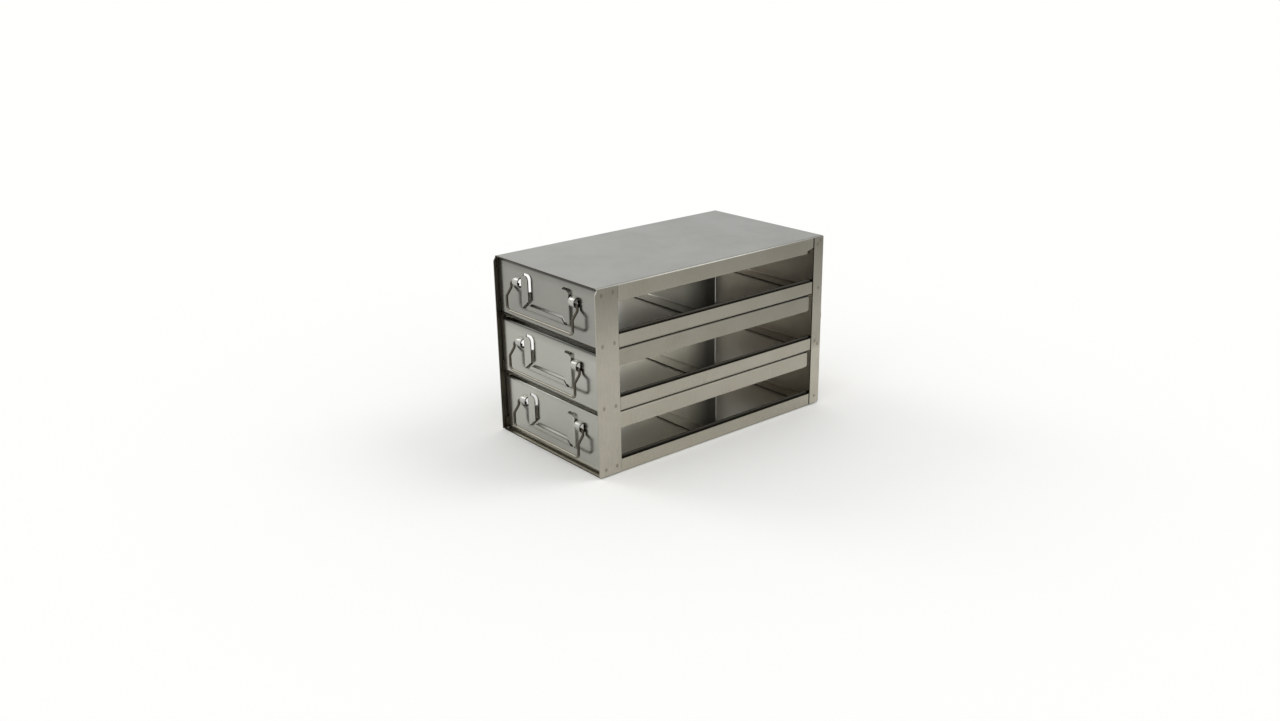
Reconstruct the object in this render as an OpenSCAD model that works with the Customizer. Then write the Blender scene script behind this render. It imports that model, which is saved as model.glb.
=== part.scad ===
// Drawer rack for freezer storage boxes: a sheet steel frame of posts, rails and a top and
// bottom panel, with three drawers on fixed runners. Each drawer holds two square boxes, one
// behind the other, and has a wire bail and a label holder on its front.
// Millimetres, +Z up, front towards -Y, origin under the middle of the frame.

/* [Frame] */
// Width over the posts
rack_w = 153; // [140:1:180]
// Depth from the front edge to the back of the rear posts
rack_d = 277.6; // [240:0.1:420]
// Height over the top panel
rack_h = 172.2; // [160:0.1:230]
// Sheet thickness of the frame
sheet_t = 1.2; // [0.8:0.1:1.2]
// Inside radius of the bends in the top and bottom panel
panel_bend_r = 1.4; // [1:0.1:2]
// Depth of the side flanges of the top panel
top_flange_h = 12.2; // [9:0.1:16]
// Height of the side flanges of the bottom panel
bottom_flange_h = 12.7; // [9:0.1:16]
// Distance of the top panel's front edge from the front of the posts
top_front_d = 1.6; // [0.5:0.1:3]

/* [Posts] */
// Width of each front post
front_post_w = 24; // [18:0.1:40]
// Height of the bevel at the top of each front post
post_bevel_h = 4; // [2:0.1:9]
// Depth of the bevel at the top of each front post
post_bevel_d = 2.6; // [1:0.1:8]
// Width of the side leg of each rear post
rear_post_w = 13.6; // [12:0.1:24]
// Width of the rear leg of each rear post
rear_leg_w = 14; // [10:0.1:20]
// Corner radius at the foot of each rear post
rear_foot_r = 6; // [3:0.1:9]
// Corner radius at the top of each rear post
rear_top_r = 3; // [1.5:0.1:6]
// Inside radius of the bend in each rear post
post_bend_r = 0.6; // [0.4:0.1:0.8]
// Height of the strap across the back
strap_h = 8; // [6:0.1:16]
// Height of the middle of the strap above the floor
strap_z = 90.5; // [70:0.1:110]

/* [Rails] */
// Inside radius of the bends in the rails
rail_bend_r = 1.2; // [0.6:0.1:1.3]
// Height of the outer flange of a rail
rail_flange_h = 13.2; // [9:0.1:16]
// Width of the shelf of a rail inside its flange
shelf_w = 9; // [6:0.1:12]
// Height of the guide under a rail's shelf
guide_h = 15.8; // [12:0.1:17]
// Height of the guide under the top panel
top_guide_h = 15.3; // [10:0.1:18]
// Distance of the rails' guides from the outside of the posts
guide_inset = 1.5; // [1.4:0.1:2.5]
// Distance of the top guides from the outside of the posts
top_guide_inset = 4.3; // [4.2:0.1:6]
// Radius of the guides' lower corners
guide_corner_r = 2.5; // [1:0.1:4]
// Distance of the shelves and guides from the front edge
guide_front_d = 8.6; // [8:0.1:14]
// Distance of the lapped flanges from the front edge
lap_front_d = 3; // [2.5:0.1:6]
// Clear groove between the flanges and the rear posts
rear_groove = 1.5; // [0.5:0.1:3]
// How much earlier than the flanges the rails' guides end at the rear
guide_short_l = 2.4; // [0:0.1:8]
// Width of the foot of the guide under the top panel
guide_foot_w = 12; // [8:0.1:20]

/* [Drawers] */
// Sheet thickness of the drawers
drawer_t = 1; // [0.8:0.1:1.2]
// Inside radius of the bends in the drawers
drawer_bend_r = 0.8; // [0.5:0.1:1.2]
// Distance of the drawer fronts behind the front edge
front_recess = 4.3; // [3.5:0.1:5]
// Gap between a drawer front and the rail above it
head_gap = 0.8; // [0.3:0.1:3]
// How much further in the bottom drawer stands
bottom_push = 1.5; // [0:0.1:1.5]
// Height of the side lips of a drawer
lip_h = 14; // [9:0.1:18]
// Corner radius at the ends of the side lips
lip_end_r = 4; // [2:0.1:8]
// Distance of the side lips from the back of the drawer
lip_rear_d = 8; // [4:0.1:30]
// How far the divider stands behind the middle of the drawer
divider_shift = 1.8; // [0:0.1:2.5]
// Depth of the foot of the divider and of the back
foot_d = 16; // [8:0.1:24]
// Depth of the foot of the drawer front
front_foot_d = 11; // [8:0.1:24]
// Depth of the return flange along the top of the drawer front
return_d = 5; // [3:0.1:6]
// Distance of the divider and the back below the top of the front
wall_drop = 2; // [1.5:0.1:10]

/* [Label holder] */
// Width over the two side flanges of the label holder
label_w = 72; // [66:0.1:73]
// Height of the label holder above the drawer's underside
label_z = 13.5; // [11.5:0.1:14]
// Height of the side flanges of the label holder
label_h = 32; // [26:0.1:34]
// Width of the side flanges of the label holder
label_flange_w = 11.3; // [9:0.1:12]
// Height of the bottom flange of the label holder
label_ledge_h = 5.2; // [4.5:0.1:6]
// How far the flanges stand out from the drawer front
label_out = 2.7; // [2.4:0.1:3.2]

/* [Bail] */
// Diameter of the bail wire
wire_d = 2.5; // [2:0.1:2.6]
// Width of the bail between the middles of its legs
bail_w = 100; // [99.6:0.1:104]
// Drop from the bail's pivot to the middle of its bar
bail_drop = 25.4; // [23:0.1:28]
// How far the bail's legs are cranked outwards
bail_crank = 5.5; // [4:0.1:7]
// Length of each leg above its crank
crank_top = 5; // [4.6:0.1:6]
// Height of the cranked stretch
crank_h = 7; // [6:0.1:9]
// Length of each inturned end of the wire
pin_l = 11.6; // [10:0.1:11.6]
// How far the bail has slid to the left in its loops
bail_slide = 2; // [0:0.1:2.1]
// Width of the loops that hold the bail
loop_w = 7.9; // [6:0.1:8]
// Distance of the loops from the middle of the front
loop_x = 38.4; // [38:0.1:38.5]
// Height of the middle of the loops above the drawer's underside
loop_z = 36.7; // [34:0.1:38]
// Inside radius of the loops
loop_r = 3.75; // [3.5:0.05:4.2]

/* [Hidden] */
// Smoothness of round parts
$fn = 48;
// Number of drawers
drawer_count = 3;
// Running gap under a drawer
run_gap = 0.3;
// Gap over the top drawer's front
top_gap = 0.5;
// Gap beside each drawer
side_gap = 0.5;
// Gap between a guide and a drawer's walls
guide_gap = 0.8;
// Gap between the bottom drawer and the rear posts
stop_gap = 0.3;
// Gap between a front post and the flanges beside it
post_gap = 0.2;
// Gap between the drawer front and the side lips
lip_gap = 0.3;
// Gap between the bail's pin and its loops
pin_gap = 0.1;
// Length over which a flange steps in behind a post
step_l = 1.2;
// Distance of the lapped flanges' ends from the rear edge
lap_rear_d = 2;
// Bevel at the lower rear corners of the top panel's flanges
top_bevel_l = 7;
// Height of that bevel
top_bevel_h = 2;
// Radius of the lower rear corners of the rails' flanges
flange_corner_r = 3.2;
// Corner radius of the strap
strap_r = 1.5;
// Height left between the rear legs of the posts and their rounded corners
leg_gap = 1;
// Extra height of the openings that the label flanges are lanced from
lance_extra = 1.3;
// Radius of the upper inner corners of the label side flanges
label_corner_r = 4.5;
// Radius of the upper outer corners of the label side flanges
label_outer_r = 3.5;
// Drop of the slanted lower edge of a label side flange
label_slant_h = 9.2;
// Inside radius of the bends in the label flanges
label_bend_r = 0.4;
// Gap between the label's bottom flange and the side flanges
mitre_gap = 0.5;
// Bend radius where the bail's legs meet its pins
elbow_r = 2.2;
// Bend radius at the lower corners of the bail
bar_corner_r = 4;
// Bend radius at the cranks of the bail
crank_r = 3;
// Overlap of the straight stretches of wire with the bends
wire_lap = 0.1;
// How much thinner the straight stretches are than the bends
wire_step = 0.01;
// Distance of the bail's pivot from the drawer front
pin_out = 2;
// Overrun of every cut
over = 1;
// Right angle
quarter = 90;

half_w = rack_w / 2;
front_y = -rack_d / 2;
back_y = rack_d / 2;
skin_x = half_w - sheet_t;
lap_in_x = skin_x - sheet_t;
guide_x = half_w - guide_inset;
top_guide_x = half_w - top_guide_inset;
shelf_in_x = lap_in_x - shelf_w;
top_under_z = rack_h - sheet_t;
front_lap_y = front_y + front_post_w + post_gap;
rear_post_y = back_y - rear_post_w;
rear_lap_y = rear_post_y - rear_groove;
lap_y0 = front_y + lap_front_d;
lap_y1 = back_y - lap_rear_d;
guide_y0 = front_y + guide_front_d;
guide_y1 = rear_lap_y - guide_short_l;
panel_r = panel_bend_r + sheet_t;
rail_r = rail_bend_r + sheet_t;
post_r = post_bend_r + sheet_t;

front_gap = run_gap + 2 * sheet_t + head_gap;
clear_h = rack_h - 2 * sheet_t - top_gap - run_gap;
front_h = (clear_h - (drawer_count - 1) * front_gap) / drawer_count;
pitch = front_h + front_gap;

tray_x = lap_in_x - side_gap;
wall_x = top_guide_x - sheet_t - guide_gap;
drawer_back_y = back_y - sheet_t - stop_gap - bottom_push;
face_y = front_y + front_recess;
bay_d = (drawer_back_y - face_y - 3 * drawer_t) / 2;
divider_y = face_y + drawer_t + bay_d + divider_shift;
wall_h = front_h - drawer_t - wall_drop;

label_x = label_w / 2;
label_in_x = label_x - label_flange_w;
label_top_z = label_z + label_h;
ledge_x = label_x - label_ledge_h - mitre_gap;
loop_out_r = loop_r + drawer_t;
wire_r = wire_d / 2;
pin_z = loop_z - sqrt(pow(loop_r - wire_r - pin_gap, 2) - pow(pin_out, 2));
crank_a = atan(bail_crank / crank_h);
crank_bend_l = crank_r * tan(crank_a / 2);
bar_out = pin_out + bail_crank;

steel = "#a9a79c";
bright_steel = "#b6b6b2";
wire_steel = "#c8c8c6";

// Height of the underside of drawer k, counted from the bottom
function drawer_z(k) = sheet_t + run_gap + k * pitch;
// How far drawer k stands further in than the others
function drawer_in(k) = k == 0 ? bottom_push : 0;

// Bent sheet in section: legs along +X and +Y from the outer corner at the origin
module angle_section(leg_x, leg_y, t, r) {
    translate([r + t, 0]) square([leg_x - r - t, t]);
    translate([0, r + t]) square([t, leg_y - r - t]);
    translate([r + t, r + t]) intersection() {
        difference() {
            circle(r + t);
            circle(r);
        }
        translate([-r - t, -r - t]) square(r + t);
    }
}

// Panel in section, with a flange at each side pointing up
module tray_section(half, flange_h, t, r) {
    for (s = [0, 1]) mirror([s, 0]) translate([half, 0]) mirror([1, 0])
        angle_section(half, flange_h, t, r);
}

// What a rounded corner takes away: the corner is at the origin and the sheet in +X +Y
module corner_waste(r) {
    difference() {
        translate([-over, -over]) square(r + over);
        translate([r, r]) circle(r);
    }
}

// Extrudes a section in X and Z along Y, from y0 to y1
module along_y(y0, y1) {
    translate([0, y1, 0]) rotate([quarter, 0, 0]) linear_extrude(y1 - y0) children();
}

// Extrudes a section in Y and Z along X, from x0 to x1
module along_x(x0, x1) {
    translate([x0, 0, 0]) rotate([quarter, 0, quarter]) linear_extrude(x1 - x0) children();
}

// Keeps its children on the right side, or mirrors them to the left side
module on_side(left) {
    mirror([left ? 1 : 0, 0, 0]) children();
}

// Panel lying on z = 0 with its flanges up, each stepped in behind the posts at both ends
module panel(flange_h, plate_y0) {
    along_y(front_lap_y, rear_lap_y) tray_section(half_w, flange_h, sheet_t, panel_bend_r);
    for (y = [[lap_y0, front_lap_y + step_l], [rear_lap_y - step_l, lap_y1]])
        along_y(y[0], y[1]) tray_section(skin_x, flange_h, sheet_t, panel_bend_r);
    along_y(plate_y0, back_y) intersection() {
        tray_section(half_w, flange_h, sheet_t, panel_bend_r);
        translate([-half_w, 0]) square([2 * half_w, sheet_t]);
    }
}

module top_panel() {
    color(bright_steel) translate([0, 0, rack_h]) mirror([0, 0, 1]) difference() {
        panel(top_flange_h, front_y + top_front_d);
        along_x(-rack_w, rack_w) {
            translate([back_y, 0]) mirror([1, 0]) corner_waste(rear_top_r);
            polygon([
                [rear_lap_y + over, top_flange_h - top_bevel_h],
                [rear_lap_y, top_flange_h - top_bevel_h],
                [rear_lap_y - top_bevel_l, top_flange_h],
                [rear_lap_y - top_bevel_l, top_flange_h + over],
                [rear_lap_y + over, top_flange_h + over]
            ]);
        }
    }
}

module bottom_panel() {
    color(steel) difference() {
        panel(bottom_flange_h, front_y + top_front_d);
        along_x(-rack_w, rack_w) translate([back_y, 0]) mirror([1, 0]) corner_waste(rear_foot_r);
    }
}

module front_post(left) {
    color(steel) on_side(left) along_x(skin_x, half_w) polygon([
        [front_y, sheet_t],
        [front_y + front_post_w, sheet_t],
        [front_y + front_post_w, top_under_z],
        [front_y + post_bevel_d, top_under_z],
        [front_y, top_under_z - post_bevel_h]
    ]);
}

module rear_post(left) {
    leg_z0 = rear_foot_r + leg_gap;
    leg_z1 = rack_h - rear_top_r - leg_gap;
    bend_y = back_y - post_r;
    color(steel) on_side(left) difference() {
        translate([half_w, back_y, sheet_t]) rotate(2 * quarter) linear_extrude(rack_h - 2 * sheet_t)
            angle_section(rear_leg_w, rear_post_w, sheet_t, post_bend_r);
        translate([0, bend_y, 0]) cube([skin_x, rear_post_w, leg_z0]);
        translate([0, bend_y, leg_z1]) cube([skin_x, rear_post_w, rack_h - leg_z1]);
        along_x(0, rack_w) {
            translate([back_y, 0]) mirror([1, 0]) corner_waste(rear_foot_r);
            translate([back_y, rack_h]) rotate(2 * quarter) corner_waste(rear_top_r);
        }
    }
}

// Strap across the back, which the drawers stop against
module rear_strap() {
    strap_x = half_w - post_r;
    color(steel) along_y(back_y, back_y + sheet_t) translate([0, strap_z - strap_h / 2]) difference() {
        translate([-strap_x, 0]) square([2 * strap_x, strap_h]);
        for (sx = [0, 1]) mirror([sx, 0]) translate([-strap_x, 0]) {
            corner_waste(strap_r);
            translate([0, strap_h]) mirror([0, 1]) corner_waste(strap_r);
        }
    }
}

// Section of a rail with its outer flange at x = outer, its shelf's underside on y = 0
module rail_section(outer) {
    translate([outer, 0]) mirror([1, 0])
        angle_section(outer - shelf_in_x, rail_flange_h, sheet_t, rail_bend_r);
}

// Rail whose shelf has its underside at height z: outer flange, shelf, and the angle under the
// shelf whose leg hangs down as the guide of the drawer below
module rail(z, left) {
    color(steel) on_side(left) translate([0, 0, z]) difference() {
        union() {
            along_y(front_lap_y, rear_lap_y) rail_section(half_w);
            along_y(guide_y0, front_lap_y + step_l) rail_section(skin_x);
            for (y = [[lap_y0, front_lap_y + step_l], [rear_lap_y - step_l, lap_y1]])
                along_y(y[0], y[1]) translate([lap_in_x, flange_corner_r])
                    square([sheet_t, rail_flange_h - flange_corner_r]);
            along_y(guide_y0, guide_y1) translate([guide_x, 0]) rotate(2 * quarter)
                angle_section(guide_x - shelf_in_x, guide_h, sheet_t, rail_bend_r);
        }
        along_x(0, half_w) {
            translate([guide_y0, -guide_h]) corner_waste(guide_corner_r);
            translate([guide_y1, -guide_h]) mirror([1, 0]) corner_waste(guide_corner_r);
        }
        along_x(skin_x, half_w + over) translate([rear_lap_y, 0]) mirror([1, 0])
            corner_waste(flange_corner_r);
    }
}

// Guide of the top drawer, fixed under the top panel by a foot that points inwards
module top_guide(left) {
    color(steel) on_side(left) difference() {
        along_y(guide_y0, rear_lap_y) translate([top_guide_x, top_under_z]) rotate(2 * quarter)
            angle_section(guide_foot_w, top_guide_h, sheet_t, post_bend_r);
        translate([0, guide_y0 - over, top_under_z - post_r])
            cube([top_guide_x - sheet_t, front_lap_y - guide_y0 + over, rack_h]);
        along_x(0, rack_w) translate([0, top_under_z - top_guide_h]) {
            translate([guide_y0, 0]) corner_waste(guide_corner_r);
            translate([rear_lap_y, 0]) mirror([1, 0]) corner_waste(guide_corner_r);
        }
    }
}

// Floor of a drawer with its two side lips
module drawer_tray(k) {
    lip_y0 = face_y + drawer_t + lip_gap;
    lip_y1 = drawer_back_y - lip_rear_d;
    color(steel) translate([0, drawer_in(k), drawer_z(k)]) difference() {
        along_y(face_y, drawer_back_y) tray_section(tray_x, lip_h, drawer_t, drawer_bend_r);
        for (y = [[face_y - over, lip_y0], [lip_y1, drawer_back_y + over]])
            translate([-rack_w, y[0], drawer_t]) cube([2 * rack_w, y[1] - y[0], lip_h]);
        along_x(-rack_w, rack_w) {
            translate([lip_y0, lip_h]) mirror([0, 1]) corner_waste(lip_end_r);
            translate([lip_y1, lip_h]) rotate(2 * quarter) corner_waste(lip_end_r);
        }
    }
}

// Outline of a side flange of the label holder on the right side, grown at its free edges
module label_side_outline(grow) {
    w = label_flange_w + grow;
    in_x = label_in_x - grow;
    top_z = label_top_z + grow;
    slant_z = label_z + label_slant_h;
    difference() {
        translate([in_x, label_z]) square([w, label_h + grow]);
        translate([in_x, top_z]) mirror([0, 1]) corner_waste(label_corner_r);
        translate([label_x, top_z]) rotate(2 * quarter) corner_waste(label_outer_r);
        polygon([
            [in_x - over, label_z - over],
            [label_x + over, label_z - over],
            [label_x + over, label_z],
            [label_x, label_z],
            [in_x, slant_z],
            [in_x - over, slant_z]
        ]);
    }
}

// Outline of the bottom flange of the label holder, grown at its free edge
module label_ledge_outline(grow) {
    h = label_ledge_h + grow;
    polygon([
        [-ledge_x, label_z],
        [ledge_x, label_z],
        [ledge_x - h, label_z + h],
        [-ledge_x + h, label_z + h]
    ]);
}

// Side flange of the label holder, stepped out of the sheet, on the right side
module label_side_flange() {
    intersection() {
        translate([label_x, -label_out, label_z]) mirror([1, 0, 0]) linear_extrude(label_h)
            angle_section(label_flange_w, label_out, drawer_t, label_bend_r);
        along_y(-label_out, 0) label_side_outline(0);
    }
}

// Bottom flange of the label holder
module label_ledge_flange() {
    intersection() {
        along_x(-ledge_x, ledge_x) translate([-label_out, label_z])
            angle_section(label_out, label_ledge_h, drawer_t, label_bend_r);
        along_y(-label_out, 0) label_ledge_outline(0);
    }
}

// Half round loop pressed out of the sheet to hold an end of the bail, on the right side
module bail_loop() {
    along_x(loop_x, loop_x + loop_w) translate([0, loop_z]) intersection() {
        difference() {
            circle(loop_out_r);
            circle(loop_r);
        }
        translate([-loop_out_r, -loop_out_r]) square([loop_out_r, 2 * loop_out_r]);
    }
}

// Front of a drawer: a bent plate with the label holder and the bail's loops
module drawer_front(k) {
    color(bright_steel) translate([0, face_y + drawer_in(k), drawer_z(k)]) {
        difference() {
            along_x(-tray_x, tray_x) {
                translate([0, drawer_t])
                    angle_section(front_foot_d, front_h / 2, drawer_t, drawer_bend_r);
                translate([0, front_h]) mirror([0, 1])
                    angle_section(return_d, front_h / 2, drawer_t, drawer_bend_r);
            }
            along_y(-over, drawer_t + over) {
                for (s = [0, 1]) mirror([s, 0]) {
                    intersection() {
                        label_side_outline(lance_extra);
                        square([label_x - drawer_t, rack_h]);
                    }
                    translate([loop_x, loop_z - loop_r]) square([loop_w, 2 * loop_r]);
                }
                intersection() {
                    label_ledge_outline(lance_extra);
                    translate([-ledge_x, label_z + drawer_t]) square([2 * ledge_x, label_h]);
                }
            }
            for (s = [0, 1]) mirror([s, 0, 0])
                translate([wall_x, drawer_t, 0]) cube([rack_w, front_foot_d, rack_h]);
        }
        for (s = [0, 1]) mirror([s, 0, 0]) {
            label_side_flange();
            bail_loop();
        }
        label_ledge_flange();
    }
}

// Upright sheet with a foot towards the front, its rear face at y
module drawer_wall(k, y) {
    color(steel) translate([0, y + drawer_in(k), drawer_z(k) + drawer_t]) along_x(-wall_x, wall_x)
        mirror([1, 0]) angle_section(foot_d, wall_h, drawer_t, drawer_bend_r);
}

// Straight stretch of wire along +Z, a hair thinner than the bends it runs into
module wire_run(l) {
    translate([0, 0, -wire_lap]) cylinder(h = l + 2 * wire_lap, r = wire_r - wire_step);
    translate([0, 0, l]) children();
}

// Bend of the wire from +Z through angle a, in the direction roll, with its children at its end
module wire_bend(r, a, roll) {
    rotate(roll) {
        translate([r, 0, 0]) rotate([quarter, 0, 2 * quarter]) rotate_extrude(angle = a)
            translate([r, 0]) circle(wire_r);
        translate([r - r * cos(a), 0, r * sin(a)]) rotate([0, a, 0]) rotate(-roll) children();
    }
}

// Right leg of the bail from the end of its bar to the end of its pin
module bail_leg() {
    lower_l = bail_drop - crank_top - crank_h - bar_corner_r - crank_bend_l;
    slope_l = crank_h / cos(crank_a) - 2 * crank_bend_l;
    upper_l = crank_top - crank_bend_l - elbow_r;
    wire_bend(bar_corner_r, quarter, 2 * quarter)
        wire_run(lower_l)
        wire_bend(crank_r, crank_a, quarter)
        wire_run(slope_l)
        wire_bend(crank_r, crank_a, -quarter)
        wire_run(upper_l)
        wire_bend(elbow_r, quarter, 2 * quarter)
        wire_run(pin_l - elbow_r);
}

// Wire bail of drawer k, hanging
module handle(k) {
    bar_x = bail_w / 2 - bar_corner_r;
    color(wire_steel) translate([-bail_slide, face_y + drawer_in(k), drawer_z(k)])
        translate([0, -bar_out, pin_z - bail_drop]) {
            translate([-bar_x, 0, 0]) rotate([0, quarter, 0]) wire_run(2 * bar_x);
            for (s = [0, 1]) mirror([s, 0, 0]) translate([bar_x, 0, 0]) rotate([0, quarter, 0]) bail_leg();
        }
}

top_panel();
bottom_panel();
front_post(true);  // front_post_left
front_post(false);  // front_post_right
rear_post(true);  // rear_post_left
rear_post(false);  // rear_post_right
rear_strap();
rail(2 * pitch, true);  // upper_rail_left
rail(2 * pitch, false);  // upper_rail_right
rail(pitch, true);  // lower_rail_left
rail(pitch, false);  // lower_rail_right
top_guide(true);  // top_guide_left
top_guide(false);  // top_guide_right
drawer_tray(2);  // top_drawer_tray
drawer_front(2);  // top_drawer_front
drawer_wall(2, divider_y + drawer_t);  // top_drawer_divider
drawer_wall(2, drawer_back_y);  // top_drawer_back
drawer_tray(1);  // middle_drawer_tray
drawer_front(1);  // middle_drawer_front
drawer_wall(1, divider_y + drawer_t);  // middle_drawer_divider
drawer_wall(1, drawer_back_y);  // middle_drawer_back
drawer_tray(0);  // bottom_drawer_tray
drawer_front(0);  // bottom_drawer_front
drawer_wall(0, divider_y + drawer_t);  // bottom_drawer_divider
drawer_wall(0, drawer_back_y);  // bottom_drawer_back
handle(2);  // top_handle
handle(1);  // middle_handle
handle(0);  // bottom_handle
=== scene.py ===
"""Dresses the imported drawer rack: sheet and wire finishes, folded hems, studio and camera."""
import logging
import math
from collections.abc import Callable
from dataclasses import dataclass
from enum import Enum

import bpy
from mathutils import Matrix, Vector


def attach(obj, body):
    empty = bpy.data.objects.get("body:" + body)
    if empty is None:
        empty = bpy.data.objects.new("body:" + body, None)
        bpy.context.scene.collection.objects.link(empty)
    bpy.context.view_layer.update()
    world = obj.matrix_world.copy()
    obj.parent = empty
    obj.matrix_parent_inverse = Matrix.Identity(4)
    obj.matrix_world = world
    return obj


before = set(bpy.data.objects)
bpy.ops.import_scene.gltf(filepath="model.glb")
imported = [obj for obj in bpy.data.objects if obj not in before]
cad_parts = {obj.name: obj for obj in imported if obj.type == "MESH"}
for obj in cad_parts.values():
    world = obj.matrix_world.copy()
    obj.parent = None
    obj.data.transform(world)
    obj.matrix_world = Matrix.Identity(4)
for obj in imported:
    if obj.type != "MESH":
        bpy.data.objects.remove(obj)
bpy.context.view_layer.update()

MM = 0.001
NOISE = (0.3, 0.7)  # nearly all values of a noise pattern lie between these
SIDEWAYS = 0.75  # a normal with more of X than this looks left or right
HALFWAY = 0.5  # a normal with more of an axis than this looks that way at least in part
LOG = logging.getLogger("rack")

Pair = tuple[float, float]
Triple = tuple[float, float, float]
Tree = bpy.types.NodeTree
Socket = bpy.types.NodeSocket
Material = bpy.types.Material
Polygon = bpy.types.MeshPolygon


class Level(Enum):
    """The three drawers, as their bodies are called."""

    TOP = "top"
    MIDDLE = "middle"
    BOTTOM = "bottom"


class Side(Enum):
    """The two sides of the frame, as the ends of its nodes' names."""

    LEFT = "left"
    RIGHT = "right"


class Grain(Enum):
    """Direction of a sheet's rolling marks, as the stretch of the pattern along X, Y and Z."""

    ALONG_X = (0.04, 1.0, 1.0)
    ALONG_Y = (1.0, 0.04, 1.0)
    ALONG_Z = (1.0, 1.0, 0.04)


class Axis(Enum):
    """Axis along which a tone changes."""

    X = 0
    Y = 1
    Z = 2


def linear(hex_colour: str) -> tuple[float, float, float, float]:
    """Turns an sRGB hex value into a linear colour.

    Args:
        hex_colour: six hex digits after a hash sign.

    Returns:
        Linear red, green and blue, with an alpha of 1.
    """
    channels = [int(hex_colour[i:i + 2], 16) / 255 for i in (1, 3, 5)]
    red, green, blue = (c / 12.92 if c <= 0.04045 else ((c + 0.055) / 1.055) ** 2.4
                        for c in channels)
    return red, green, blue, 1.0


def spans(source: Pair, result: Pair) -> dict[str, float]:
    """Pairs a range of values with the range that they turn into.

    Args:
        source: lowest and highest value that come in.
        result: what these two turn into.

    Returns:
        The settings of a node that maps one range to another.
    """
    return {"From Min": source[0], "From Max": source[1], "To Min": result[0], "To Max": result[1]}


def add_node(tree: Tree, kind: str, settings: dict | None = None, links: dict | None = None,
             **attributes: object) -> bpy.types.Node:
    """Adds a node with its settings and links.

    Args:
        tree: the node tree that gets the node.
        kind: the node's type name.
        settings: values of input sockets, by name or number.
        links: output sockets that feed the node's inputs, by name or number of the input.
        attributes: properties of the node itself.

    Returns:
        The new node.
    """
    node = tree.nodes.new(kind)
    for name, value in attributes.items():
        setattr(node, name, value)
    for key, value in (settings or {}).items():
        node.inputs[key].default_value = value
    for key, socket in (links or {}).items():
        tree.links.new(socket, node.inputs[key])
    return node


def new_material(name: str) -> tuple[Material, Tree]:
    """Makes an empty node material.

    Args:
        name: the material's name.

    Returns:
        The material and its node tree.
    """
    material = bpy.data.materials.new(name)
    material.use_nodes = True
    material.node_tree.nodes.clear()
    return material, material.node_tree


@dataclass(frozen=True)
class PaintedTone:
    """Painted shading: a slow change in a sheet's brightness along one axis, standing in for how
    light and reflections fall across it.
    """

    axis: Axis
    from_mm: float
    to_mm: float
    first: float
    last: float

    def factor(self, tree: Tree, axes: bpy.types.NodeOutputs) -> Socket:
        """Draws the change as a factor.

        Args:
            tree: the node tree.
            axes: the X, Y and Z sockets of the place on the surface, in metres.

        Returns:
            A socket with the factor.
        """
        reach = (self.from_mm * MM, self.to_mm * MM)
        return add_node(tree, "ShaderNodeMapRange", spans(reach, (self.first, self.last)),
                        {"Value": axes[self.axis.value]}).outputs["Result"]


@dataclass(frozen=True)
class PaintedBendShade:
    """Painted shade: dark bands along level bends, standing in for the shade that falls there."""

    heights_mm: tuple[float, ...]
    half_mm: float
    shade: float
    core_share: float = 0.45

    def factor(self, tree: Tree, height: Socket) -> Socket:
        """Draws the bands as a factor.

        Args:
            tree: the node tree.
            height: the socket with the height, in metres.

        Returns:
            A socket that is 1 off the bands and the darkest in their middles.
        """
        nearest = None
        for place in self.heights_mm:
            away = add_node(tree, "ShaderNodeMath", {1: place * MM}, {0: height},
                            operation="SUBTRACT").outputs[0]
            away = add_node(tree, "ShaderNodeMath", None, {0: away},
                            operation="ABSOLUTE").outputs[0]
            nearest = away if nearest is None else add_node(
                tree, "ShaderNodeMath", None, {0: nearest, 1: away}, operation="MINIMUM").outputs[0]
        band = (self.half_mm * self.core_share * MM, self.half_mm * MM)
        return add_node(tree, "ShaderNodeMapRange", spans(band, (self.shade, 1.0)),
                        {"Value": nearest}).outputs["Result"]


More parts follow.
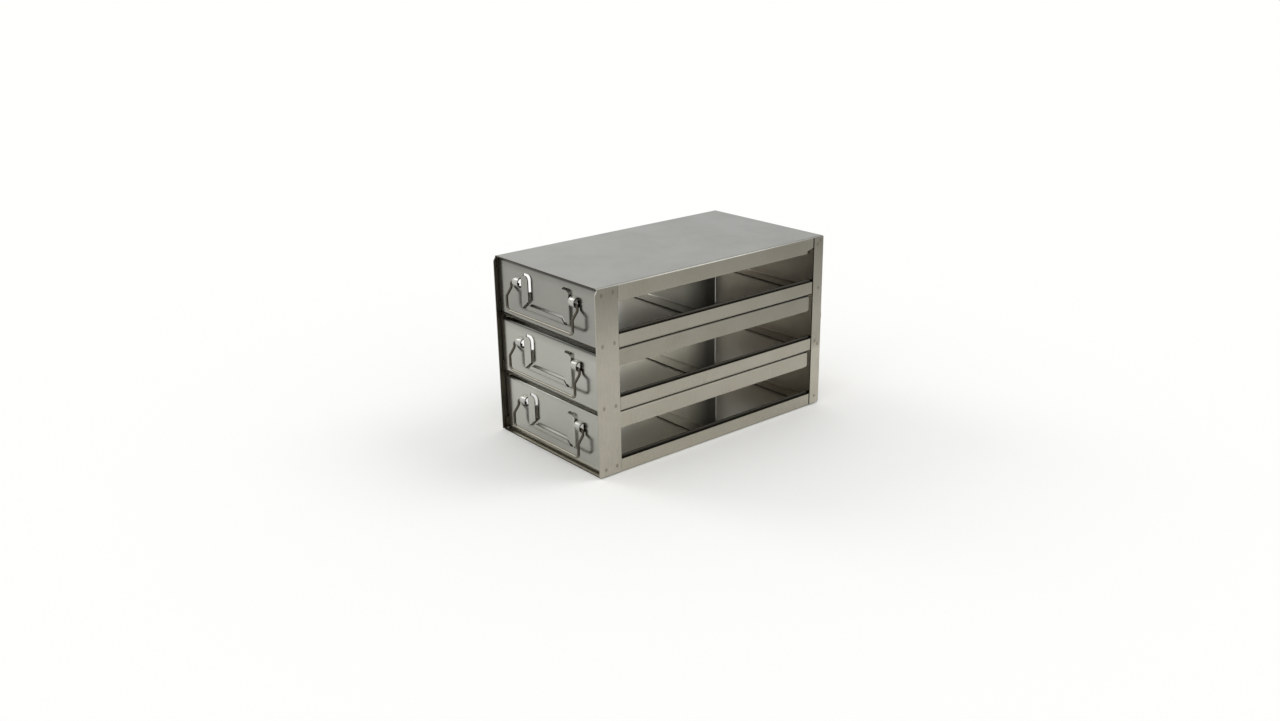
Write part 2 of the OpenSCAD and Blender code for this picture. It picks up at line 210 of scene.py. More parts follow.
@dataclass(frozen=True)
class WeldMarks:
    """Spot welds as a thin sheet shows them: soft oval smudges, a hair sunk, faintly straw."""

    places_mm: tuple[Pair, ...]
    tint: str = "#5f5747"
    size_mm: Pair = (1.5, 2.0)
    strength: float = 0.6
    depth_mm: float = 0.05
    ragged_mm: float = 1.6
    ragged_by: float = 0.22
    rim: Pair = (0.45, 1.25)

    def mask(self, tree: Tree, place: Socket) -> Socket:
        """Draws the marks as a mask over the side faces.

        Args:
            tree: the node tree.
            place: the socket with the place on the surface, in metres.

        Returns:
            A socket that is 1 in the middle of a mark and 0 off the marks.
        """
        wide, high = self.size_mm
        ragged = add_node(tree, "ShaderNodeTexNoise",
                          {"Scale": 1 / (self.ragged_mm * MM), "Detail": 2.0},
                          {"Vector": place}).outputs["Fac"]
        wobble = add_node(tree, "ShaderNodeMapRange",
                          spans(NOISE, (-self.ragged_by, self.ragged_by)),
                          {"Value": ragged}).outputs["Result"]
        flat = add_node(tree, "ShaderNodeVectorMath", {1: (0.0, 1 / (wide * MM), 1 / (high * MM))},
                        {0: place}, operation="MULTIPLY").outputs[0]
        nearest = None
        for y, z in self.places_mm:
            gap = add_node(tree, "ShaderNodeVectorMath", {1: (0.0, y / wide, z / high)}, {0: flat},
                           operation="DISTANCE").outputs["Value"]
            nearest = gap if nearest is None else add_node(
                tree, "ShaderNodeMath", None, {0: nearest, 1: gap}, operation="MINIMUM").outputs[0]
        uneven = add_node(tree, "ShaderNodeMath", None, {0: nearest, 1: wobble},
                          operation="ADD").outputs[0]
        return add_node(tree, "ShaderNodeMapRange", spans(self.rim, (1.0, 0.0)),
                        {"Value": uneven}).outputs["Result"]

    def put_on(self, tree: Tree, place: Socket, colour: Socket,
               normal: Socket) -> tuple[Socket, Socket]:
        """Puts the marks on a finish.

        Args:
            tree: the node tree.
            place: the socket with the place on the surface, in metres.
            colour: the socket with the finish's colour.
            normal: the socket with its normal.

        Returns:
            The sockets with the marked colour and normal.
        """
        mark = self.mask(tree, place)
        share = add_node(tree, "ShaderNodeMath", {1: self.strength}, {0: mark},
                         operation="MULTIPLY").outputs[0]
        marked = add_node(tree, "ShaderNodeMix", {7: linear(self.tint)}, {0: share, 6: colour},
                          data_type="RGBA").outputs[2]
        sunk = add_node(tree, "ShaderNodeBump", {"Strength": 1.0, "Distance": self.depth_mm * MM},
                        {"Height": mark, "Normal": normal}, invert=True).outputs["Normal"]
        return marked, sunk


@dataclass(frozen=True)
class ColdRolledStainless:
    """2B stainless sheet, cold rolled and lightly skin passed: a soft mirror with faint marks.

    The eye sees blurred reflections, a fine grain in one direction and cloudy patches where hands
    and cleaning cloths went. The grain's lines are drawn 0.35 mm apart, coarser than the real
    0.05 mm, because those are too fine to show.
    """

    name: str
    colour: str
    cloud_colour: str
    roughness: float
    grain: Grain
    grain_mm: float = 0.35
    grain_depth_mm: float = 0.003
    streak_share: float = 0.05
    streak_roughness: float = 0.03
    cloud_mm: float = 38.0
    cloud_depth_mm: float = 0.008
    cloud_roughness: float = 0.04
    cloud_rim: Pair = (0.35, 0.7)
    # painted shading: tones and bend bands lighten or darken the colour where light and shade would
    # fall
    tones: tuple[PaintedTone, ...] = ()
    bends: PaintedBendShade | None = None
    welds: WeldMarks | None = None

    def patterns(self, tree: Tree, place: Socket) -> tuple[Socket, Socket]:
        """Draws the rolling marks and the clouds.

        Args:
            tree: the node tree.
            place: the socket with the place on the surface, in metres.

        Returns:
            The sockets with the two patterns.
        """
        stretched = add_node(tree, "ShaderNodeVectorMath", {1: self.grain.value}, {0: place},
                             operation="MULTIPLY").outputs[0]
        lines = add_node(tree, "ShaderNodeTexNoise",
                         {"Scale": 1 / (self.grain_mm * MM), "Detail": 3.0, "Roughness": 0.6},
                         {"Vector": stretched}).outputs["Fac"]
        clouds = add_node(tree, "ShaderNodeTexNoise",
                          {"Scale": 1 / (self.cloud_mm * MM), "Detail": 3.0, "Roughness": 0.55},
                          {"Vector": place}).outputs["Fac"]
        return lines, clouds

    def tinted(self, tree: Tree, place: Socket, lines: Socket, patch: Socket) -> Socket:
        """Draws the colour, with its clouds and streaks, and with the painted shading of its tones
        and bend bands.

        Args:
            tree: the node tree.
            place: the socket with the place on the surface, in metres.
            lines: the socket with the rolling marks.
            patch: the socket that is 1 where a cloud lies.

        Returns:
            The socket with the colour.
        """
        plain = add_node(tree, "ShaderNodeMix",
                         {6: linear(self.colour), 7: linear(self.cloud_colour)},
                         {0: patch}, data_type="RGBA").outputs[2]
        streaks = (1 - self.streak_share, 1 + self.streak_share)
        shade = add_node(tree, "ShaderNodeMapRange", spans(NOISE, streaks),
                         {"Value": lines}).outputs["Result"]
        axes = add_node(tree, "ShaderNodeSeparateXYZ", None, {0: place}).outputs
        factors = [tone.factor(tree, axes) for tone in self.tones]
        if self.bends:
            factors.append(self.bends.factor(tree, axes["Z"]))
        for factor in factors:
            shade = add_node(tree, "ShaderNodeMath", None, {0: shade, 1: factor},
                             operation="MULTIPLY").outputs[0]
        return add_node(tree, "ShaderNodeVectorMath", None, {0: plain, 3: shade},
                        operation="SCALE").outputs[0]

    def dulled(self, tree: Tree, lines: Socket, patch: Socket) -> Socket:
        """Draws the roughness, which changes with the streaks and the clouds.

        Args:
            tree: the node tree.
            lines: the socket with the rolling marks.
            patch: the socket that is 1 where a cloud lies.

        Returns:
            The socket with the roughness.
        """
        around = (self.roughness - self.streak_roughness, self.roughness + self.streak_roughness)
        rough = add_node(tree, "ShaderNodeMapRange", spans(NOISE, around),
                         {"Value": lines}).outputs["Result"]
        return add_node(tree, "ShaderNodeMath", {1: self.cloud_roughness}, {0: patch, 2: rough},
                        operation="MULTIPLY_ADD").outputs[0]

    def relief(self, tree: Tree, lines: Socket, clouds: Socket) -> Socket:
        """Draws the normal: the sheet's slight waves with the rolling marks on them.

        Args:
            tree: the node tree.
            lines: the socket with the rolling marks.
            clouds: the socket with the clouds, which the waves follow.

        Returns:
            The socket with the normal.
        """
        waves = add_node(tree, "ShaderNodeBump",
                         {"Strength": 0.3, "Distance": self.cloud_depth_mm * MM},
                         {"Height": clouds}).outputs["Normal"]
        return add_node(tree, "ShaderNodeBump",
                        {"Strength": 0.4, "Distance": self.grain_depth_mm * MM},
                        {"Height": lines, "Normal": waves}).outputs["Normal"]

    def material(self) -> Material:
        """Builds the material."""
        material, tree = new_material(self.name)
        place = add_node(tree, "ShaderNodeTexCoord").outputs["Object"]
        lines, clouds = self.patterns(tree, place)
        patch = add_node(tree, "ShaderNodeMapRange", spans(self.cloud_rim, (0.0, 1.0)),
                         {"Value": clouds}).outputs["Result"]
        colour = self.tinted(tree, place, lines, patch)
        normal = self.relief(tree, lines, clouds)
        if self.welds:
            colour, normal = self.welds.put_on(tree, place, colour, normal)
        steel = add_node(tree, "ShaderNodeBsdfPrincipled", {"Metallic": 1.0},
                         {"Base Color": colour, "Roughness": self.dulled(tree, lines, patch),
                          "Normal": normal})
        add_node(tree, "ShaderNodeOutputMaterial", None, {"Surface": steel.outputs["BSDF"]})
        return material


@dataclass(frozen=True)
class ShearedEdge:
    """Raw edge of sheared or lanced stainless sheet: a torn, rough face with fine scores.

    The eye sees a thin matt line. Its colour is darker than the sheet, for its dull torn face and
    as painted shade where it lies in shade, and brighter as a painted highlight on a few edges.
    """

    name: str
    colour: str
    roughness: float = 0.5
    score_mm: float = 0.25
    score_shades: Pair = (0.82, 1.12)
    torn_mm: float = 0.03

    def material(self) -> Material:
        """Builds the material."""
        material, tree = new_material(self.name)
        place = add_node(tree, "ShaderNodeTexCoord").outputs["Object"]
        scores = add_node(tree, "ShaderNodeTexNoise",
                          {"Scale": 1 / (self.score_mm * MM), "Detail": 2.0},
                          {"Vector": place}).outputs["Fac"]
        shade = add_node(tree, "ShaderNodeMapRange", spans(NOISE, self.score_shades),
                         {"Value": scores}).outputs["Result"]
        colour = add_node(tree, "ShaderNodeVectorMath", {0: linear(self.colour)[:3]}, {3: shade},
                          operation="SCALE").outputs[0]
        torn = add_node(tree, "ShaderNodeBump", {"Strength": 0.5, "Distance": self.torn_mm * MM},
                        {"Height": scores}).outputs["Normal"]
        steel = add_node(tree, "ShaderNodeBsdfPrincipled",
                         {"Metallic": 1.0, "Roughness": self.roughness},
                         {"Base Color": colour, "Normal": torn})
        add_node(tree, "ShaderNodeOutputMaterial", None, {"Surface": steel.outputs["BSDF"]})
        return material


@dataclass(frozen=True)
class DrawnWire:
    """Drawn stainless wire, bent by hand: a near mirror with faint draw lines.

    The eye sees a thin bright line along a dark wire. The dark colour is painted shade for the dark
    surroundings that the legs reflect, and the lighter bar is a painted reflection of the bright
    front behind it.
    """

    name: str
    bar_top_mm: float
    # painted shade for the dark surroundings the legs reflect, and a painted reflection of the
    # bright front on the bar
    colour: str = "#4e4a41"
    bar_reflection_colour: str = "#7b776d"
    fade_mm: float = 2.5
    line_mm: float = 0.5
    line_depth_mm: float = 0.01
    roughness: Pair = (0.13, 0.20)

    def material(self) -> Material:
        """Builds the material."""
        material, tree = new_material(self.name)
        place = add_node(tree, "ShaderNodeTexCoord").outputs["Object"]
        lines = add_node(tree, "ShaderNodeTexNoise",
                         {"Scale": 1 / (self.line_mm * MM), "Detail": 2.0},
                         {"Vector": place}).outputs["Fac"]
        rough = add_node(tree, "ShaderNodeMapRange", spans(NOISE, self.roughness),
                         {"Value": lines}).outputs["Result"]
        marks = add_node(tree, "ShaderNodeBump",
                         {"Strength": 0.3, "Distance": self.line_depth_mm * MM},
                         {"Height": lines}).outputs["Normal"]
        height = add_node(tree, "ShaderNodeSeparateXYZ", None, {0: place}).outputs["Z"]
        fade = (self.bar_top_mm * MM, (self.bar_top_mm + self.fade_mm) * MM)
        # painted reflection: the bar fades in to its lighter colour
        bar_reflection_share = add_node(tree, "ShaderNodeMapRange", spans(fade, (1.0, 0.0)),
                          {"Value": height}).outputs["Result"]
        colour = add_node(tree, "ShaderNodeMix",
                          {6: linear(self.colour), 7: linear(self.bar_reflection_colour)},
                          {0: bar_reflection_share}, data_type="RGBA").outputs[2]
        steel = add_node(tree, "ShaderNodeBsdfPrincipled", {"Metallic": 1.0},
                         {"Base Color": colour, "Roughness": rough, "Normal": marks})
        add_node(tree, "ShaderNodeOutputMaterial", None, {"Surface": steel.outputs["BSDF"]})
        return material


@dataclass(frozen=True)
class EdgeFinder:
    """Finds a bent sheet's sheared edges: flat strips one sheet thick between two sharp turns."""

    thickest_mm: float = 1.3
    flat_cosine: float = 0.9995
    turn_cosine: float = 0.5
    sharp_share: float = 0.7

    def neighbours(self, mesh: bpy.types.Mesh) -> list[list[tuple[int, float]]]:
        """Lists what each polygon touches, by place, because the mesh's faces are loose.

        Args:
            mesh: the piece's mesh.

        Returns:
            For each polygon, the polygons beside it and the lengths of the shared edges in mm.
        """
        spots = [tuple(round(c / MM, 3) for c in vertex.co) for vertex in mesh.vertices]
        beside: dict[tuple, list[int]] = {}
        for polygon in mesh.polygons:
            for one, two in polygon.edge_keys:
                ends = tuple(sorted((spots[one], spots[two])))
                beside.setdefault(ends, []).append(polygon.index)
        links: list[list[tuple[int, float]]] = [[] for _ in mesh.polygons]
        for (one, two), touching in beside.items():
            length = math.dist(one, two)
            for first in touching:
                links[first].extend((second, length) for second in touching if second != first)
        return links

    def find(self, mesh: bpy.types.Mesh) -> list[int]:
        """Lists the polygons that lie on sheared edges.

        Args:
            mesh: the piece's mesh, which stays as it is.

        Returns:
            The polygons' numbers.
        """
        links = self.neighbours(mesh)
        normals = [polygon.normal.copy() for polygon in mesh.polygons]
        grouped = [False] * len(normals)
        found = []
        for start, normal in enumerate(normals):
            if grouped[start]:
                continue
            grouped[start] = True
            group, stack = [], [start]
            rim = sharp = 0.0
            while stack:
                here = stack.pop()
                group.append(here)
                for there, length in links[here]:
                    turn = normal.dot(normals[there])
                    if turn <= self.flat_cosine:
                        rim += length
                        sharp += length if turn < self.turn_cosine else 0.0
                    elif not grouped[there]:
                        grouped[there] = True
                        stack.append(there)
            area = sum(mesh.polygons[index].area for index in group) / MM ** 2
            if rim and 2 * area / rim < self.thickest_mm and sharp > self.sharp_share * rim:
                found.extend(group)
        return found


@dataclass(frozen=True)
class FineRounding:
    """The slight round that deburring leaves on a sheared edge."""

    width_mm: float = 0.12
    joined_mm: float = 0.002
    segments: int = 2
    from_degrees: float = 50.0

    def put_on(self, piece: bpy.types.Object) -> None:
        """Rounds a piece's sharp edges.

        Args:
            piece: the piece, whose mesh stays as it is.
        """
        join = piece.modifiers.new("join", "WELD")
        join.merge_threshold = self.joined_mm * MM
        rounding = piece.modifiers.new("sheared edge", "BEVEL")
        rounding.width = self.width_mm * MM
        rounding.segments = self.segments
        rounding.limit_method = "ANGLE"
        rounding.angle_limit = math.radians(self.from_degrees)
        rounding.use_clamp_overlap = True


def dress(node: str, material: Material, edge: Material | None = None) -> None:
    """Gives a CAD node its finish, with its sheared edges in their own finish and finely rounded.

    Args:
        node: the node's name.
        material: its finish.
        edge: the finish of its sheared edges, if it has any.
    """
    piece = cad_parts[node]
    piece.data.materials.clear()
    piece.data.materials.append(material)
    if edge:
        piece.data.materials.append(edge)
        for index in EdgeFinder().find(piece.data):
            piece.data.polygons[index].material_index = 1
        FineRounding().put_on(piece)
    LOG.info("dressed %s", node)


def repaint(node: str, material: Material, wanted: Callable[[Polygon], bool]) -> None:
    """Gives some faces of a dressed CAD node another finish.

    Args:
        node: the node's name.
        material: the other finish.
        wanted: tells for each polygon whether it gets it.
    """
    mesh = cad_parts[node].data
    mesh.materials.append(material)
    for polygon in mesh.polygons:
        if wanted(polygon):
            polygon.material_index = len(mesh.materials) - 1


def looks_sideways(polygon: Polygon) -> bool:
    """Tells whether a polygon faces left or right."""
    return abs(polygon.normal.x) > SIDEWAYS


def looks_forward(polygon: Polygon) -> bool:
    """Tells whether a polygon faces the front."""
    return polygon.normal.y < -HALFWAY


def looks_outward(polygon: Polygon) -> bool:
    """Tells whether a polygon faces left on the left half, or right on the right half."""
    return looks_sideways(polygon) and polygon.normal.x * polygon.center.x > 0


@dataclass(frozen=True)
class Hem:
    """Folded safety edge on the top return flange of a drawer front.

    The flange's sheet goes on to the rear, turns under in a closed fold and comes back.
    """

    half_length_mm: float = 64.0
    sheet_mm: float = 1.0
    reach_mm: float = 1.7
    back_mm: float = 3.2
    slit_mm: float = 0.12
    arc_steps: int = 10

    def section(self) -> list[Pair]:
        """Draws the section, as distances behind the flange's end and heights below its top."""
        inner = self.slit_mm / 2
        fold = self.sheet_mm + inner
        outer_arc, inner_arc = [], []
        for step in range(self.arc_steps + 1):
            angle = math.pi * (0.5 - step / self.arc_steps)
            for arc, radius in ((outer_arc, fold), (inner_arc, inner)):
                arc.append((self.reach_mm + radius * math.cos(angle),
                            -fold + radius * math.sin(angle)))
        tail = self.reach_mm - self.back_mm
        return [(0.0, 0.0), *outer_arc, (tail, -2 * fold), (tail, -fold - inner),
                *reversed(inner_arc), (0.0, -fold + inner)]

    def build(self, level: Level, end_mm: float, top_mm: float,
              material: Material) -> bpy.types.Object:
        """Builds the hem of one drawer front.

        Args:
            level: the drawer.
            end_mm: where the return flange ends along Y.
            top_mm: height of the flange's upper face.
            material: its finish.

        Returns:
            The piece.
        """
        outline = self.section()
        count = len(outline)
        spots = [(side * self.half_length_mm * MM, (end_mm + y) * MM, (top_mm + z) * MM)
                 for side in (-1, 1) for y, z in outline]
        walls = [(i, (i + 1) % count, (i + 1) % count + count, i + count) for i in range(count)]
        ends = [tuple(reversed(range(count))), tuple(range(count, 2 * count))]
        name = f"{level.value}_front_hem"
        data = bpy.data.meshes.new(name)
        data.from_pydata(spots, [], [*walls, *ends])
        data.validate()
        data.materials.append(material)
        piece = bpy.data.objects.new(name, data)
        bpy.context.scene.collection.objects.link(piece)
        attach(piece, f"{level.value}_drawer")
        LOG.info("added %s", name)
        return piece


@dataclass
class Rack:
    """The fixed frame: panels, posts, rails, guides and strap."""

    front_mm: float = -138.8
    post_width_mm: float = 24.5
    depth_mm: Pair = (-138.0, 138.0)
    # spot welds, as distances behind the front edge and heights
    front_welds: tuple[Pair, ...] = (
        (6.3, 165.4), (18.6, 166.4), (6.3, 120.6), (19.2, 121.3),
        (6.3, 64.4), (19.2, 64.0), (6.8, 7.2), (18.8, 7.8))
    rear_welds: tuple[Pair, ...] = (
        (272.2, 167.6), (268.6, 164.4), (271.2, 121.0),
        (268.6, 67.0), (272.4, 63.2), (270.4, 8.6))
    # painted shade: dark bands along the bends where the flanges turn in under the two rails, and
    # darker guides below where the upper guides begin
    rail_bend_shade: PaintedBendShade = PaintedBendShade((57.3, 114.8), 1.6, 0.25)
    guide_top_mm: Pair = (113.9, 114.1)
    # painted shading: the posts are darker towards the top and lighter lower down, standing in for
    # the reflections along them; the rear ones are also darker from about 66 mm up and lighter
    # again near the top
    post_shading: tuple[PaintedTone, ...] = (
        PaintedTone(Axis.Z, 100, 165, 1.03, 0.52), PaintedTone(Axis.Z, 5, 100, 1.4, 1.26))
    rear_post_shading: tuple[PaintedTone, ...] = (
        PaintedTone(Axis.Z, 58, 66, 1.0, 0.74), PaintedTone(Axis.Z, 124, 160, 1.0, 1.22))
    # painted shade: sheared edges are coloured dark, for their dull torn faces and the shade they
    # lie in; painted highlight: the right post's front edge is coloured light
    edge: ShearedEdge = ShearedEdge("sheared edge, frame", "#4c473e")
    highlit_edge: ShearedEdge = ShearedEdge("sheared edge, bright", "#a8a59c", 0.4)
    # painted shade: the inside of the left front post and its laps get a dark copy of the steel,
    # where shade falls beside the drawers' left sides
    painted_recess_shade: ColdRolledStainless = ColdRolledStainless(
        "2B stainless, scuffed post", "#57534a", "#4c4840", 0.34, Grain.ALONG_Z)

    def top_finish(self) -> Material:
        """Builds the finish of the top panel, wiped often and so an even grey, with painted shading
        that darkens it towards the rear.
        """
        return ColdRolledStainless("2B stainless, top panel", "#90908b", "#8c8c87", 0.30,
                                   Grain.ALONG_Y,
                                   tones=(PaintedTone(Axis.Y, *self.depth_mm, 1.05, 0.85),)).material()

    def side_finish(self, where: str, rear: float, guide: float = 1.0) -> Material:
        """Builds the finish of rails, guides and side flanges: a warm grey with painted shading,
        darker towards the top and the rear, and painted shade bands along the bends.

        Args:
            where: what gets it.
            rear: how bright the painted shading leaves it at the rear, against 1.15 at the front.
            guide: how bright the painted shade leaves the guides under the upper rails, against the
                flanges.

        Returns:
            The material.
        """
        tones = (PaintedTone(Axis.Z, 20, 170, 1.36, 0.8), PaintedTone(Axis.Y, *self.depth_mm, 1.15, rear),
                 PaintedTone(Axis.Z, *self.guide_top_mm, guide, 1.0))
        return ColdRolledStainless(f"2B stainless, {where}", "#969287", "#908c80", 0.24,
                                   Grain.ALONG_Z, tones=tones, bends=self.rail_bend_shade).material()

    def post_finish(self, where: str, marks: tuple[Pair, ...],
                    tones: tuple[PaintedTone, ...]) -> Material:
        """Builds the finish of a pair of posts, with their spot welds.

        Args:
            where: which pair.
            marks: the welds' distances from the front edge and heights.
            tones: their painted shading.

        Returns:
            The material.
        """
        places = tuple((self.front_mm + y, z) for y, z in marks)
        return ColdRolledStainless(f"2B stainless, {where} posts", "#9b978c", "#959186", 0.26,
                                   Grain.ALONG_Z, tones=tones, welds=WeldMarks(places)).material()

    def is_left_recess(self, polygon: Polygon) -> bool:
        """Tells whether a polygon lies on the inside of the left front post or its laps.

        Args:
            polygon: a polygon of a post, rail or panel.

        Returns:
            True where the polygon looks right, close behind the left post's front edge.
        """
        return (looks_sideways(polygon) and polygon.normal.x > 0 > polygon.center.x
                and polygon.center.y < (self.front_mm + self.post_width_mm) * MM)

    def dress(self) -> None:
        """Gives the CAD nodes of the frame their finishes."""
        edge = self.edge.material()
        upper = self.side_finish("upper rails", 0.82, 0.88)
        lower = self.side_finish("lower rails", 1.0)
        front = self.post_finish("front", self.front_welds, self.post_shading)
        rear = self.post_finish("rear", self.rear_welds, self.post_shading + self.rear_post_shading)
        dress("top_panel", self.top_finish(), edge)
        repaint("top_panel", upper, looks_sideways)
        dress("bottom_panel", lower, edge)
        dress("rear_strap", lower, edge)
        pairs = {"front_post": front, "rear_post": rear,
                 "upper_rail": upper, "lower_rail": lower, "top_guide": upper}
        for piece, finish in pairs.items():
            for side in Side:
                dress(f"{piece}_{side.value}", finish, edge)
        # painted shade in the recess beside the left sides of the drawers
        painted_recess_shade = self.painted_recess_shade.material()
        for node in ("front_post_left", "upper_rail_left", "lower_rail_left",
                     "top_panel", "bottom_panel"):
            repaint(node, painted_recess_shade, self.is_left_recess)
        # painted highlight on the right front post's front edge
        repaint("front_post_right", self.highlit_edge.material(), looks_forward)


@dataclass(frozen=True)
class DrawerFinishes:
    """Finishes that all three drawers share, each built once."""

    back: Material
    lip: Material
    loop: Material
    edge: Material
    highlit_wall_edge: Material

    @classmethod
    def build(cls) -> "DrawerFinishes":
        """Builds the shared finishes."""
        # painted light: the backs are tinted warm, standing in for the warm light from behind
        back = ColdRolledStainless("2B stainless, drawer backs", "#a39c90", "#9d968a", 0.3,
                                   Grain.ALONG_X, grain_depth_mm=0.001, streak_share=0.02)
        # painted shade: the lips' outer faces, which slide along the guides, get a dark copy of the
        # steel for the shade they lie in behind the rails
        lip = ColdRolledStainless("2B stainless, scuffed lips", "#57554d", "#514f47", 0.36,
                                  Grain.ALONG_Y, grain_depth_mm=0.001)
        # pressing stretches the loops, which makes them matt; their paler colour is a painted sheen
        # for the light their rounds catch
        loop = ColdRolledStainless("2B stainless, loops", "#b1b1ab", "#a9a9a3", 0.36, Grain.ALONG_X)
        # painted shade: sheared edges are coloured dark, for their dull torn faces and the shade
        # they lie in; painted highlight: the upright ends of the dividers and backs are coloured
        # light
        edge = ShearedEdge("sheared edge, drawer", "#48443b")
        highlit_wall_edge = ShearedEdge("sheared edge, drawer walls", "#93928c", 0.4)
        return cls(*(finish.material() for finish in (back, lip, loop, edge, highlit_wall_edge)))


@dataclass
class Drawer:
    """One drawer: tray, front, divider and back, with its own base height and painted shading."""

    level: Level
    shared: DrawerFinishes
    base_mm: float
    front_colours: tuple[str, str]
    head_shade: float
    head_bend_shade: float
    tray_colour: str
    divider_colour: str
    divider_shade_from_mm: float
    pushed_in_mm: float = 0.0
    face_mm: float = -134.5
    height_mm: float = 54.0
    return_mm: float = 5.0
    loop_span_mm: Pair = (38.0, 46.6)
    loop_low_mm: float = 31.0
    loop_proud_mm: float = 0.05
    # painted shade: where the darkening towards the front's head begins, and the band along its
    # head bend
    head_from_mm: float = 45.0
    head_bend_mm: float = 53.6
    head_bend_half_mm: float = 2.6
    # painted shade: the divider darkens towards its right end
    divider_end_mm: float = 60.0
    divider_end_shade: float = 0.22

    def front_finish(self) -> Material:
        """Builds the front's finish, smooth and bright, with painted shade towards its head and
        along its head bend.
        """
        tone = PaintedTone(Axis.Z, self.base_mm + self.head_from_mm, self.base_mm + self.height_mm,
                    1.0, self.head_shade)
        bend = PaintedBendShade((self.base_mm + self.head_bend_mm,), self.head_bend_half_mm,
                         self.head_bend_shade)
        return ColdRolledStainless(f"2B stainless, {self.level.value} front", *self.front_colours,
                                   0.2, Grain.ALONG_X, tones=(tone,), bends=bend).material()

    def inside_finish(self, where: str, colour: str, tones: tuple[PaintedTone, ...] = ()) -> Material:
        """Builds a finish of the drawer's inside, which nobody touches: even, with a faint grain.

        Args:
            where: what gets it.
            colour: its colour.
            tones: its painted shading.

        Returns:
            The material.
        """
        return ColdRolledStainless(f"2B stainless, {self.level.value} {where}", colour, colour, 0.3,
                                   Grain.ALONG_X, grain_depth_mm=0.001, streak_share=0.02,
                                   tones=tones).material()

    def is_loop(self, polygon: Polygon) -> bool:
        """Tells whether a polygon lies on the round of a loop that holds the bail.

        Args:
            polygon: a polygon of the front, before any repainting.

        Returns:
            True on a loop's round, and False on its flat ends and anywhere else.
        """
        x, y, z = (value / MM for value in polygon.center)
        inner, outer = self.loop_span_mm
        proud = y < self.face_mm + self.pushed_in_mm - self.loop_proud_mm
        return (proud and inner < abs(x) < outer and z - self.base_mm > self.loop_low_mm
                and polygon.material_index == 0 and abs(polygon.normal.x) < HALFWAY)

    def dress(self) -> None:
        """Gives the CAD nodes of the drawer their finishes and adds the hem."""
        prefix = f"{self.level.value}_drawer"
        edge = self.shared.edge
        front = self.front_finish()
        dress(f"{prefix}_front", front, edge)
        repaint(f"{prefix}_front", self.shared.loop, self.is_loop)
        Hem().build(self.level, self.face_mm + self.return_mm + self.pushed_in_mm,
                    self.base_mm + self.height_mm, front)
        dress(f"{prefix}_tray", self.inside_finish("tray", self.tray_colour), edge)
        repaint(f"{prefix}_tray", self.shared.lip, looks_outward)
        # painted shade: the divider darkens towards its right end
        dull = PaintedTone(Axis.X, self.divider_shade_from_mm, self.divider_end_mm, 1.0, self.divider_end_shade)
        divider = self.inside_finish("divider", self.divider_colour, (dull,))
        for piece, finish in (("divider", divider), ("back", self.shared.back)):
            dress(f"{prefix}_{piece}", finish, edge)
            repaint(f"{prefix}_{piece}", self.shared.highlit_wall_edge, looks_sideways)


@dataclass
class Bail:
    """The wire bail of one drawer."""

    level: Level
    base_mm: float
    bar_top_mm: float = 11.5

    def dress(self) -> None:
        """Gives the bail its finish, shaded round."""
        node = f"{self.level.value}_handle"
        wire = DrawnWire(f"drawn wire, {self.level.value} bail", self.base_mm + self.bar_top_mm)
        dress(node, wire.material())
        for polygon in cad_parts[node].data.polygons:
            polygon.use_smooth = True


@dataclass(frozen=True)
class SoftLamp:
    """A far, wide lamp, which lights the floor evenly."""

    name: str
    towards: Triple
    width_degrees: float
    strength: float

    def hang(self) -> None:
        """Hangs the lamp."""
        data = bpy.data.lights.new(self.name, "SUN")
        data.angle = math.radians(self.width_degrees)
        data.energy = self.strength
        lamp = bpy.data.objects.new(self.name, data)
        lamp.location = self.towards
        lamp.rotation_euler = Vector(self.towards).to_track_quat("Z", "Y").to_euler()
        bpy.context.scene.collection.objects.link(lamp)


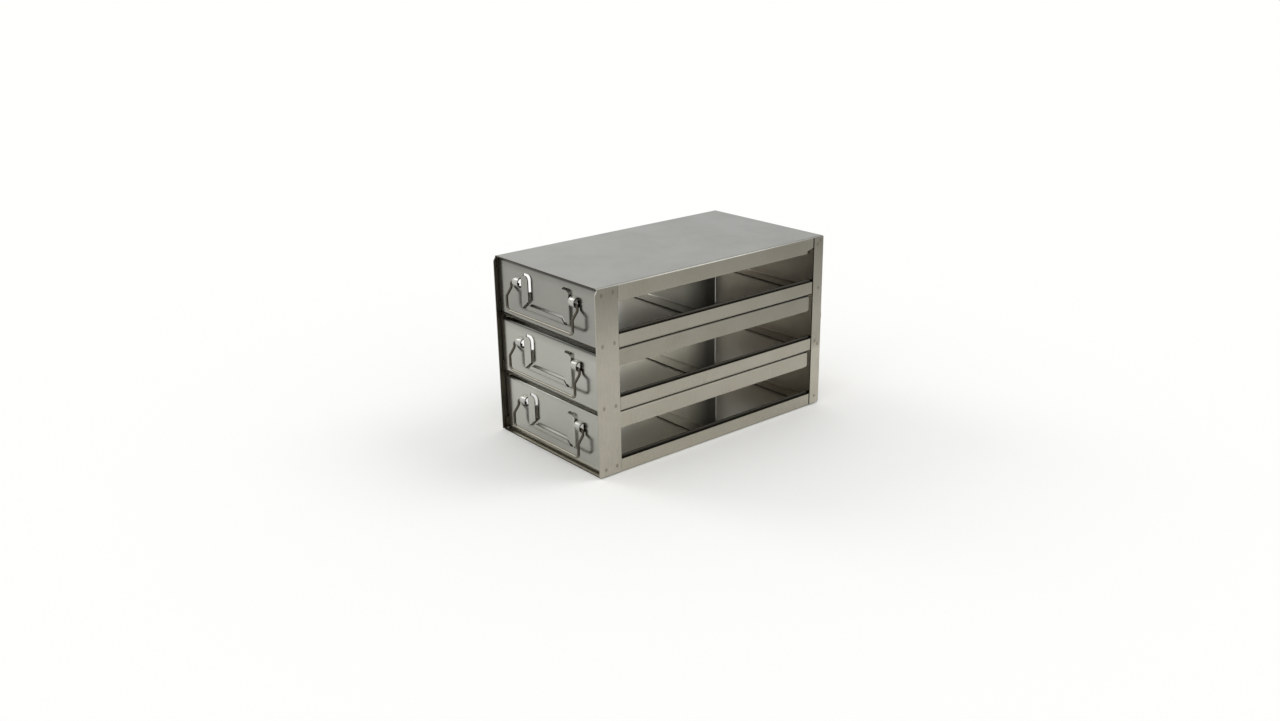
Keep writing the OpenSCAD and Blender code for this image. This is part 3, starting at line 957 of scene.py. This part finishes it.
@dataclass
class Studio:
    """Pale floor, white surroundings, four soft lamps and the camera."""

    floor_half: float = 20.0
    floor_colour: str = "#f2f2f0"
    floor_roughness: Pair = (0.85, 0.95)
    floor_drop_mm: float = 0.02
    speck_mm: float = 50.0 / 3
    lit_by_world: float = 0.86
    camera_at: Triple = (0.846643, -0.720179, 0.451752)
    right: Triple = (0.63635828, 0.77122702, -0.01603184)
    up: Triple = (-0.24827819, 0.22444897, 0.94232723)
    back: Triple = (0.73034655, -0.59567738, 0.33430881)
    lens_mm: float = 34.2455
    sensor_mm: float = 36.0
    nearest: float = 0.02
    lamps: tuple[SoftLamp, ...] = (
        SoftLamp("overhead lamp", (-0.1, 0.1, 1.0), 70.0, 0.12),
        SoftLamp("front lamp", (0.3, -0.8, 0.7), 50.0, 0.12),
        SoftLamp("left lamp", (-0.8, -0.3, 0.55), 26.0, 0.45),
        SoftLamp("rear lamp", (0.35, 0.6, 0.75), 30.0, 0.55),
    )

    def seen(self, tree: Tree) -> Socket:
        """Tells the rays that show the white background from those that only light.

        Args:
            tree: the node tree.

        Returns:
            A socket that is 1 for camera, glossy and transmission rays.
        """
        path = add_node(tree, "ShaderNodeLightPath").outputs
        either = add_node(tree, "ShaderNodeMath", None,
                          {0: path["Is Camera Ray"], 1: path["Is Glossy Ray"]},
                          operation="MAXIMUM").outputs[0]
        return add_node(tree, "ShaderNodeMath", None,
                        {0: either, 1: path["Is Transmission Ray"]},
                        operation="MAXIMUM").outputs[0]

    def surroundings(self) -> None:
        """Makes the world: white where it shows, softer as a light."""
        world = bpy.data.worlds.new("white surroundings")
        bpy.context.scene.world = world
        world.use_nodes = True
        tree = world.node_tree
        tree.nodes.clear()
        strength = add_node(tree, "ShaderNodeMapRange", spans((0.0, 1.0), (self.lit_by_world, 1.0)),
                            {"Value": self.seen(tree)}).outputs["Result"]
        light = add_node(tree, "ShaderNodeBackground", {"Color": linear("#ffffff")},
                         {"Strength": strength})
        add_node(tree, "ShaderNodeOutputWorld", None, {"Surface": light.outputs[0]})

    def floor_finish(self) -> Material:
        """Builds the floor's finish: matt studio paper, with no gloss of its own."""
        material, tree = new_material("pale floor")
        place = add_node(tree, "ShaderNodeTexCoord").outputs["Object"]
        specks = add_node(tree, "ShaderNodeTexNoise",
                          {"Scale": 1 / (self.speck_mm * MM), "Detail": 3.0},
                          {"Vector": place}).outputs["Fac"]
        rough = add_node(tree, "ShaderNodeMapRange", spans(NOISE, self.floor_roughness),
                         {"Value": specks}).outputs["Result"]
        matt = add_node(tree, "ShaderNodeBsdfPrincipled",
                        {"Base Color": linear(self.floor_colour), "Specular IOR Level": 0.0},
                        {"Roughness": rough})
        add_node(tree, "ShaderNodeOutputMaterial", None, {"Surface": matt.outputs[0]})
        return material

    def floor(self) -> None:
        """Lays the floor, which keeps the rack's soft shadow."""
        half = self.floor_half
        corners = [(-half, -half, 0), (half, -half, 0), (half, half, 0), (-half, half, 0)]
        data = bpy.data.meshes.new("floor")
        data.from_pydata(corners, [], [(0, 1, 2, 3)])
        data.materials.append(self.floor_finish())
        ground = bpy.data.objects.new("floor", data)
        ground.location.z = -self.floor_drop_mm * MM
        bpy.context.scene.collection.objects.link(ground)

    def camera(self) -> None:
        """Sets the camera at the photograph's viewing angle."""
        data = bpy.data.cameras.new("camera")
        data.sensor_width = self.sensor_mm
        data.lens = self.lens_mm
        data.clip_start = self.nearest
        data.dof.use_dof = False
        camera = bpy.data.objects.new("camera", data)
        turn = Matrix((self.right, self.up, self.back)).transposed()
        camera.matrix_world = Matrix.Translation(self.camera_at) @ turn.to_4x4()
        bpy.context.scene.collection.objects.link(camera)
        bpy.context.scene.camera = camera

    def build(self) -> None:
        """Builds the whole set."""
        self.surroundings()
        self.floor()
        for lamp in self.lamps:
            lamp.hang()
        self.camera()
        bpy.context.scene.view_settings.view_transform = "Standard"


def main() -> None:
    """Builds the studio and dresses the rack with its drawers and bails."""
    logging.basicConfig(level=logging.INFO, format="%(message)s")
    Studio().build()
    Rack().dress()
    shared = DrawerFinishes.build()
    # painted shading: each drawer's front, tray and divider colours are lit and shaded copies of
    # the same steel, darkest for the top drawer
    drawers = (
        Drawer(Level.TOP, shared, 116.5, ("#8f8f89", "#8b8b85"), head_shade=0.7, head_bend_shade=0.35,
               tray_colour="#bab8b0", divider_colour="#b4b2a9", divider_shade_from_mm=28),
        Drawer(Level.MIDDLE, shared, 59.0, ("#aaaaa3", "#a5a59d"), head_shade=0.7, head_bend_shade=0.35,
               tray_colour="#d0cec5", divider_colour="#dbd8cd", divider_shade_from_mm=31),
        Drawer(Level.BOTTOM, shared, 1.5, ("#b3b3ab", "#adada5"), head_shade=0.95, head_bend_shade=0.85,
               tray_colour="#c6c4bb", divider_colour="#d6d3c8", divider_shade_from_mm=29,
               pushed_in_mm=1.5),
    )
    for drawer in drawers:
        drawer.dress()
        Bail(drawer.level, drawer.base_mm).dress()


if __name__ == "__main__":
    main()
